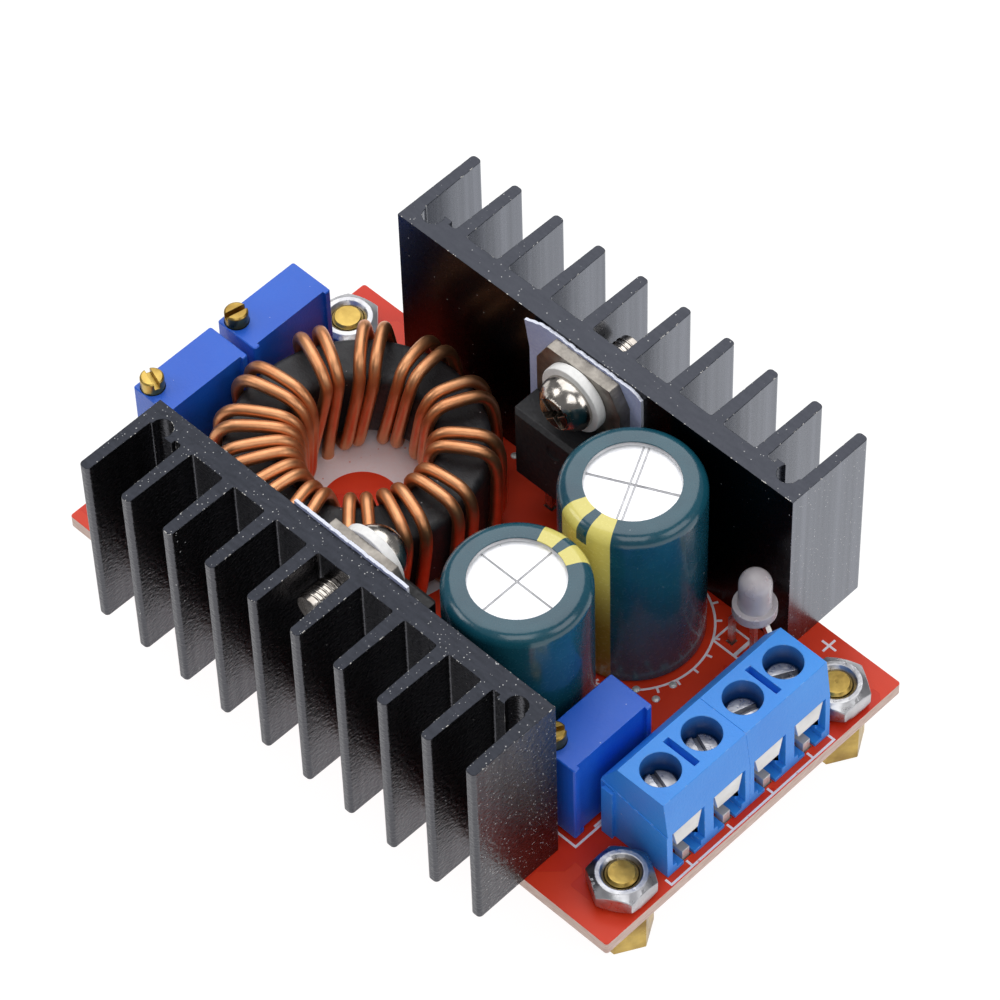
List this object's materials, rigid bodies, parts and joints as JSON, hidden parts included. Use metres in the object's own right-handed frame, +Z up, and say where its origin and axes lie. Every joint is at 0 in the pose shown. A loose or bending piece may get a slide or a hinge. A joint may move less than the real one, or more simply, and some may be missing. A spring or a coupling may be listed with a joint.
{
  "type": "buck-boost converter module",
  "caption": "Step-up step-down voltage converter board on brass standoffs, with finned heatsinks, a wound ring choke, can capacitors, trimmers and a screw terminal block.",
  "frame": {"origin": "middle of the module on the plane that the standoffs rest on", "axes": "+X along the board towards the terminal block, +Y towards the far heatsink, +Z up"},
  "size_m": [0.0662, 0.048, 0.0279],
  "materials": {
    "board_mask": "red solder mask with white print, beige glass fibre edges",
    "sink_metal": "dark oxidised extrusion with sawn ends",
    "ferrite": "matt black coated powder core",
    "copper_wire": "enamelled copper",
    "can_metal": "plain drawn aluminium",
    "sleeve_film": "dark blue-green shrink film with a pale yellow stripe",
    "bung_rubber": "black rubber",
    "tinned_lead": "tinned wire and solder",
    "blue_housing": "bright blue moulding",
    "trimmer_plastic": "deep blue moulding",
    "brass_turned": "turned brass",
    "zinc_steel": "zinc plated steel",
    "tab_metal": "tinned copper tab",
    "black_epoxy": "black moulded epoxy",
    "pad_rubber": "lavender silicone rubber sheet",
    "white_nylon": "white nylon",
    "milky_lens": "milky diffusing lens",
    "ceramic": "tan ceramic chip"
  },
  "bodies": {
    "root": {"circuit_board": "board_mask", "heatsink_near": "sink_metal", "heatsink_far": "sink_metal", "toroid_core": "ferrite", "toroid_winding_a": "copper_wire", "toroid_winding_b": "copper_wire", "lamp_lens": "milky_lens", "lamp_leads": "tinned_lead", "shoulder_washers": "white_nylon", "fixing_screws": "zinc_steel", "standoffs": "brass_turned", "hex_nuts": "zinc_steel", "control_chip_body": "black_epoxy", "control_chip_leads": "tinned_lead", "amplifier_chip_body": "black_epoxy", "amplifier_chip_leads": "tinned_lead", "sense_resistor": "black_epoxy", "chip_resistors": "black_epoxy", "chip_capacitors": "ceramic", "solder_joints": "tinned_lead", "capacitor_1_can": "can_metal", "capacitor_1_sleeve": "sleeve_film", "capacitor_1_bung": "bung_rubber", "capacitor_1_leads": "tinned_lead", "terminal_housing_1": "blue_housing", "capacitor_2_can": "can_metal", "capacitor_2_sleeve": "sleeve_film", "capacitor_2_bung": "bung_rubber", "capacitor_2_leads": "tinned_lead", "terminal_housing_2": "blue_housing", "transistor_near_tab": "tab_metal", "transistor_near_case": "black_epoxy", "transistor_near_leads": "tinned_lead", "insulating_pad_near": "pad_rubber", "transistor_far_tab": "tab_metal", "transistor_far_case": "black_epoxy", "transistor_far_leads": "tinned_lead", "insulating_pad_far": "pad_rubber", "trimmer_a_body": "trimmer_plastic", "trimmer_a_pins": "tinned_lead", "trimmer_b_body": "trimmer_plastic", "trimmer_b_pins": "tinned_lead", "trimmer_c_body": "trimmer_plastic", "trimmer_c_pins": "tinned_lead", "terminal_contact_1": "tinned_lead", "terminal_contact_2": "tinned_lead", "terminal_contact_3": "tinned_lead", "terminal_contact_4": "tinned_lead"},
    "trimmer_a_adjuster": {"trimmer_a_screw": "brass_turned"},
    "trimmer_b_adjuster": {"trimmer_b_screw": "brass_turned"},
    "trimmer_c_adjuster": {"trimmer_c_screw": "brass_turned"},
    "terminal_plate_1": {"terminal_clamp_1": "zinc_steel"},
    "terminal_driver_1": {"terminal_screw_1": "zinc_steel"},
    "terminal_plate_2": {"terminal_clamp_2": "zinc_steel"},
    "terminal_driver_2": {"terminal_screw_2": "zinc_steel"},
    "terminal_plate_3": {"terminal_clamp_3": "zinc_steel"},
    "terminal_driver_3": {"terminal_screw_3": "zinc_steel"},
    "terminal_plate_4": {"terminal_clamp_4": "zinc_steel"},
    "terminal_driver_4": {"terminal_screw_4": "zinc_steel"}
  },
  "joints": [
    {"name": "trimmer_a_turn", "type": "hinge", "parent": "root", "child": "trimmer_a_adjuster", "pos_m": [-0.03184, -0.0085, 0.0168], "axis": [0, 0, 1], "continuous": true},
    {"name": "trimmer_b_turn", "type": "hinge", "parent": "root", "child": "trimmer_b_adjuster", "pos_m": [-0.03184, 0.00186, 0.0168], "axis": [0, 0, 1], "continuous": true},
    {"name": "trimmer_c_turn", "type": "hinge", "parent": "root", "child": "trimmer_c_adjuster", "pos_m": [0.02043, -0.01162, 0.0168], "axis": [0, 0, 1], "continuous": true},
    {"name": "terminal_1_travel", "type": "slide", "parent": "root", "child": "terminal_plate_1", "axis": [0, 0, 1], "range_m": [-0.0013, 0.0007]},
    {"name": "terminal_1_turn", "type": "hinge", "parent": "terminal_plate_1", "child": "terminal_driver_1", "pos_m": [0.0288, -0.00747, 0.0142], "axis": [0, 0, 1], "range_deg": [-936, 504]},
    {"name": "terminal_2_travel", "type": "slide", "parent": "root", "child": "terminal_plate_2", "axis": [0, 0, 1], "range_m": [-0.0013, 0.0007]},
    {"name": "terminal_2_turn", "type": "hinge", "parent": "terminal_plate_2", "child": "terminal_driver_2", "pos_m": [0.0288, -0.00239, 0.0142], "axis": [0, 0, 1], "range_deg": [-936, 504]},
    {"name": "terminal_3_travel", "type": "slide", "parent": "root", "child": "terminal_plate_3", "axis": [0, 0, 1], "range_m": [-0.0013, 0.0007]},
    {"name": "terminal_3_turn", "type": "hinge", "parent": "terminal_plate_3", "child": "terminal_driver_3", "pos_m": [0.0288, 0.00269, 0.0142], "axis": [0, 0, 1], "range_deg": [-936, 504]},
    {"name": "terminal_4_travel", "type": "slide", "parent": "root", "child": "terminal_plate_4", "axis": [0, 0, 1], "range_m": [-0.0013, 0.0007]},
    {"name": "terminal_4_turn", "type": "hinge", "parent": "terminal_plate_4", "child": "terminal_driver_4", "pos_m": [0.0288, 0.00777, 0.0142], "axis": [0, 0, 1], "range_deg": [-936, 504]}
  ],
  "couplings": [
    {"joint": "terminal_1_turn", "follows": "terminal_1_travel", "rad_per_m": 12566},
    {"joint": "terminal_2_turn", "follows": "terminal_2_travel", "rad_per_m": 12566},
    {"joint": "terminal_3_turn", "follows": "terminal_3_travel", "rad_per_m": 12566},
    {"joint": "terminal_4_turn", "follows": "terminal_4_travel", "rad_per_m": 12566}
  ]
}
